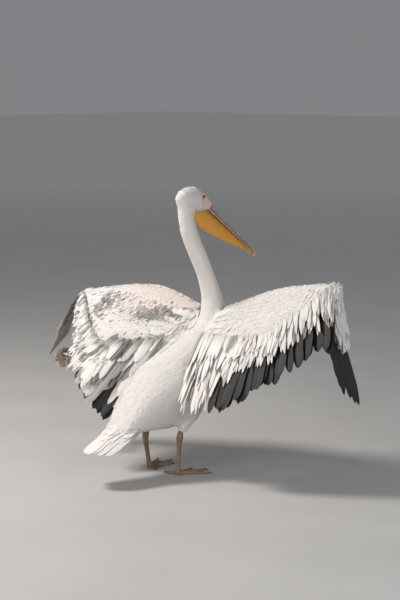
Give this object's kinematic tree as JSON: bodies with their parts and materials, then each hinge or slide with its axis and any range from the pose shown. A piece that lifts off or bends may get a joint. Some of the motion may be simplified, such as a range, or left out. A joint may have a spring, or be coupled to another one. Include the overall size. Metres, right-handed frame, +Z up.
{
  "type": "great white pelican",
  "caption": "Life-size still model of a standing great white pelican, wings half open, neck raised, long bill with yellow pouch.",
  "frame": {"origin": "on the floor under the middle of the bird's box", "axes": "+Z up, -Y towards the bird's bill, +X to the bird's own left"},
  "size_m": [1.3874, 0.915, 1.0709],
  "materials": {
    "plumage": "soft white plumage with a faint pink and cream cast",
    "flight_feathers": "black vanes with a silver-grey bloom",
    "bill_horn": "blue-grey horn, satin",
    "pouch_skin": "yellow-orange skin, finely creased",
    "nail_horn": "pale horn, satin",
    "leg_skin": "ochre-flesh scaled skin, matt",
    "claw_horn": "dark horn, satin",
    "eye": "dark red-brown, wet gloss"
  },
  "bodies": {
    "root": {"trunk": "plumage", "neck_lower": "plumage", "neck_upper": "plumage", "head": "plumage", "eye_left": "eye", "eye_right": "eye", "upper_bill": "bill_horn", "lower_bill": "bill_horn", "pouch": "pouch_skin", "bill_nail": "nail_horn", "tail": "plumage", "wing_right_upper_arm": "plumage", "wing_right_forearm": "plumage", "wing_right_hand": "plumage", "wing_right_scapulars": "plumage", "wing_right_coverts": "plumage", "wing_right_secondaries": "flight_feathers", "wing_right_primaries": "flight_feathers", "wing_right_hand_coverts": "plumage", "wing_left_upper_arm": "plumage", "wing_left_forearm": "plumage", "wing_left_hand": "plumage", "wing_left_scapulars": "plumage", "wing_left_coverts": "plumage", "wing_left_secondaries": "flight_feathers", "wing_left_primaries": "flight_feathers", "wing_left_hand_coverts": "plumage", "thigh_right": "plumage", "shank_right": "leg_skin", "foot_right": "leg_skin", "claw_right_hind": "claw_horn", "claw_right_inner": "claw_horn", "claw_right_middle": "claw_horn", "claw_right_outer": "claw_horn", "thigh_left": "plumage", "shank_left": "leg_skin", "foot_left": "leg_skin", "claw_left_hind": "claw_horn", "claw_left_inner": "claw_horn", "claw_left_middle": "claw_horn", "claw_left_outer": "claw_horn"}
  },
  "joints": []
}
